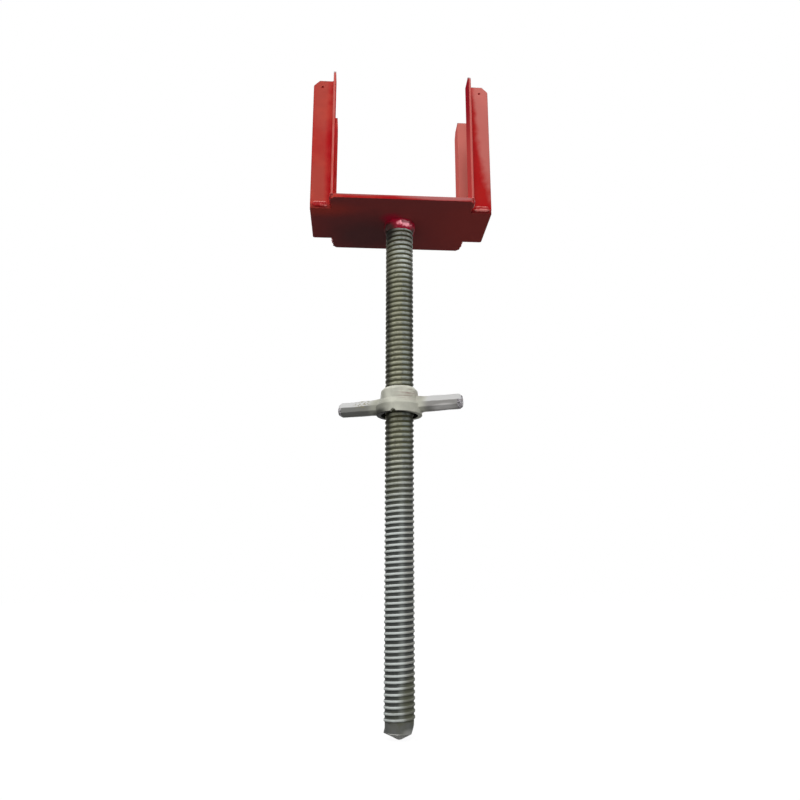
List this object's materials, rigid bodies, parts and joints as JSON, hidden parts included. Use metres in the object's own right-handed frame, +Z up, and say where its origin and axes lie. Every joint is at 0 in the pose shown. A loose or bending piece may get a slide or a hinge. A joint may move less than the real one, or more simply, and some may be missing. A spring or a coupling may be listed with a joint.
{
  "type": "fork head jack",
  "caption": "Screw jack with a fork head: angle-bar pillars on a cross-shaped plate hold a beam, over a threaded stem whose cast wing nut rests on a prop tube and sets the height.",
  "frame": {"origin": "middle of the head plate's top face, on the stem's axis, where the beam rests", "axes": "+Z up along the stem's axis, X along the plate's ears and the long side of the head, Y along the wide beam channel"},
  "size_m": [0.25, 0.146, 0.8755],
  "materials": {
    "red_paint": "gloss",
    "stem_steel": "rolled and galvanised",
    "cast_nut": "cast and galvanised"
  },
  "bodies": {
    "head": {"head_plate": "red_paint", "pillar_front_left": "red_paint", "pillar_front_right": "red_paint", "pillar_rear_left": "red_paint", "pillar_rear_right": "red_paint", "pillar_welds": "red_paint", "stem_weld": "red_paint", "stem": "stem_steel"},
    "nut": {"wing_nut": "cast_nut"}
  },
  "joints": [
    {"name": "nut_travel", "type": "slide", "parent": "head", "child": "nut", "axis": [0, 0, 1], "range_m": [-0.37, 0.225]}
  ]
}
